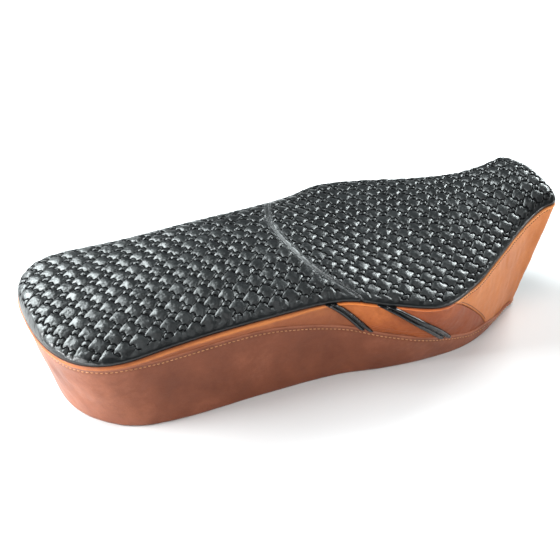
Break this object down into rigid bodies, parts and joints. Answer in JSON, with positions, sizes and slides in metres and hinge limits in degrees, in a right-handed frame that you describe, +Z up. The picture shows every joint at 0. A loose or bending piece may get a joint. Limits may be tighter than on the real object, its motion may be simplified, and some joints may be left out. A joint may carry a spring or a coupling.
{
  "type": "motorcycle dual seat",
  "caption": "Dual motorcycle seat with a quilted black top, tan padded sides, a brown skirt and a moulded pan with tongue and rear bolt brackets.",
  "frame": {"origin": "middle of the footprint, on the plane of the skirt's hem", "axes": "+X towards the front of the motorcycle, +Y to its left, +Z up"},
  "size_m": [0.63, 0.308, 0.1417],
  "materials": {
    "quilted_leather": "satin",
    "band_leather": "satin",
    "cheek_leather": "satin",
    "skirt_leather": "satin",
    "strip_leather": "gloss",
    "pull_strip_vinyl": "matte",
    "foam": "matte",
    "wadding": "matte",
    "pan_plastic": "matte",
    "steel_plate": "satin",
    "rivet_steel": "satin",
    "staple_wire": "satin",
    "buffer_rubber": "matte"
  },
  "bodies": {
    "root": {"seat_pan": "pan_plastic", "foam_cushion": "foam", "wadding_rear": "wadding", "wadding_front": "wadding", "side_pad": "wadding", "top_cover_rear": "quilted_leather", "top_cover_front": "quilted_leather", "cross_seam_welt": "quilted_leather", "side_panel_rear_right": "band_leather", "side_panel_rear_left": "band_leather", "side_panel_middle_right": "band_leather", "side_panel_middle_left": "band_leather", "side_panel_front_right": "band_leather", "side_panel_front_left": "band_leather", "strip_rear_right": "strip_leather", "strip_rear_left": "strip_leather", "strip_front_right": "strip_leather", "strip_front_left": "strip_leather", "cheek_right": "cheek_leather", "cheek_left": "cheek_leather", "nose_panel": "quilted_leather", "lower_skirt": "skirt_leather", "pull_strip": "pull_strip_vinyl", "staples": "staple_wire", "front_tongue": "steel_plate", "tongue_rivets": "rivet_steel", "rear_bracket_right": "steel_plate", "rear_bracket_left": "steel_plate", "bracket_rivets": "rivet_steel", "weld_nuts": "rivet_steel", "buffer_rear_right": "buffer_rubber", "buffer_rear_left": "buffer_rubber", "buffer_middle_right": "buffer_rubber", "buffer_middle_left": "buffer_rubber", "buffer_front_right": "buffer_rubber", "buffer_front_left": "buffer_rubber"}
  },
  "joints": []
}
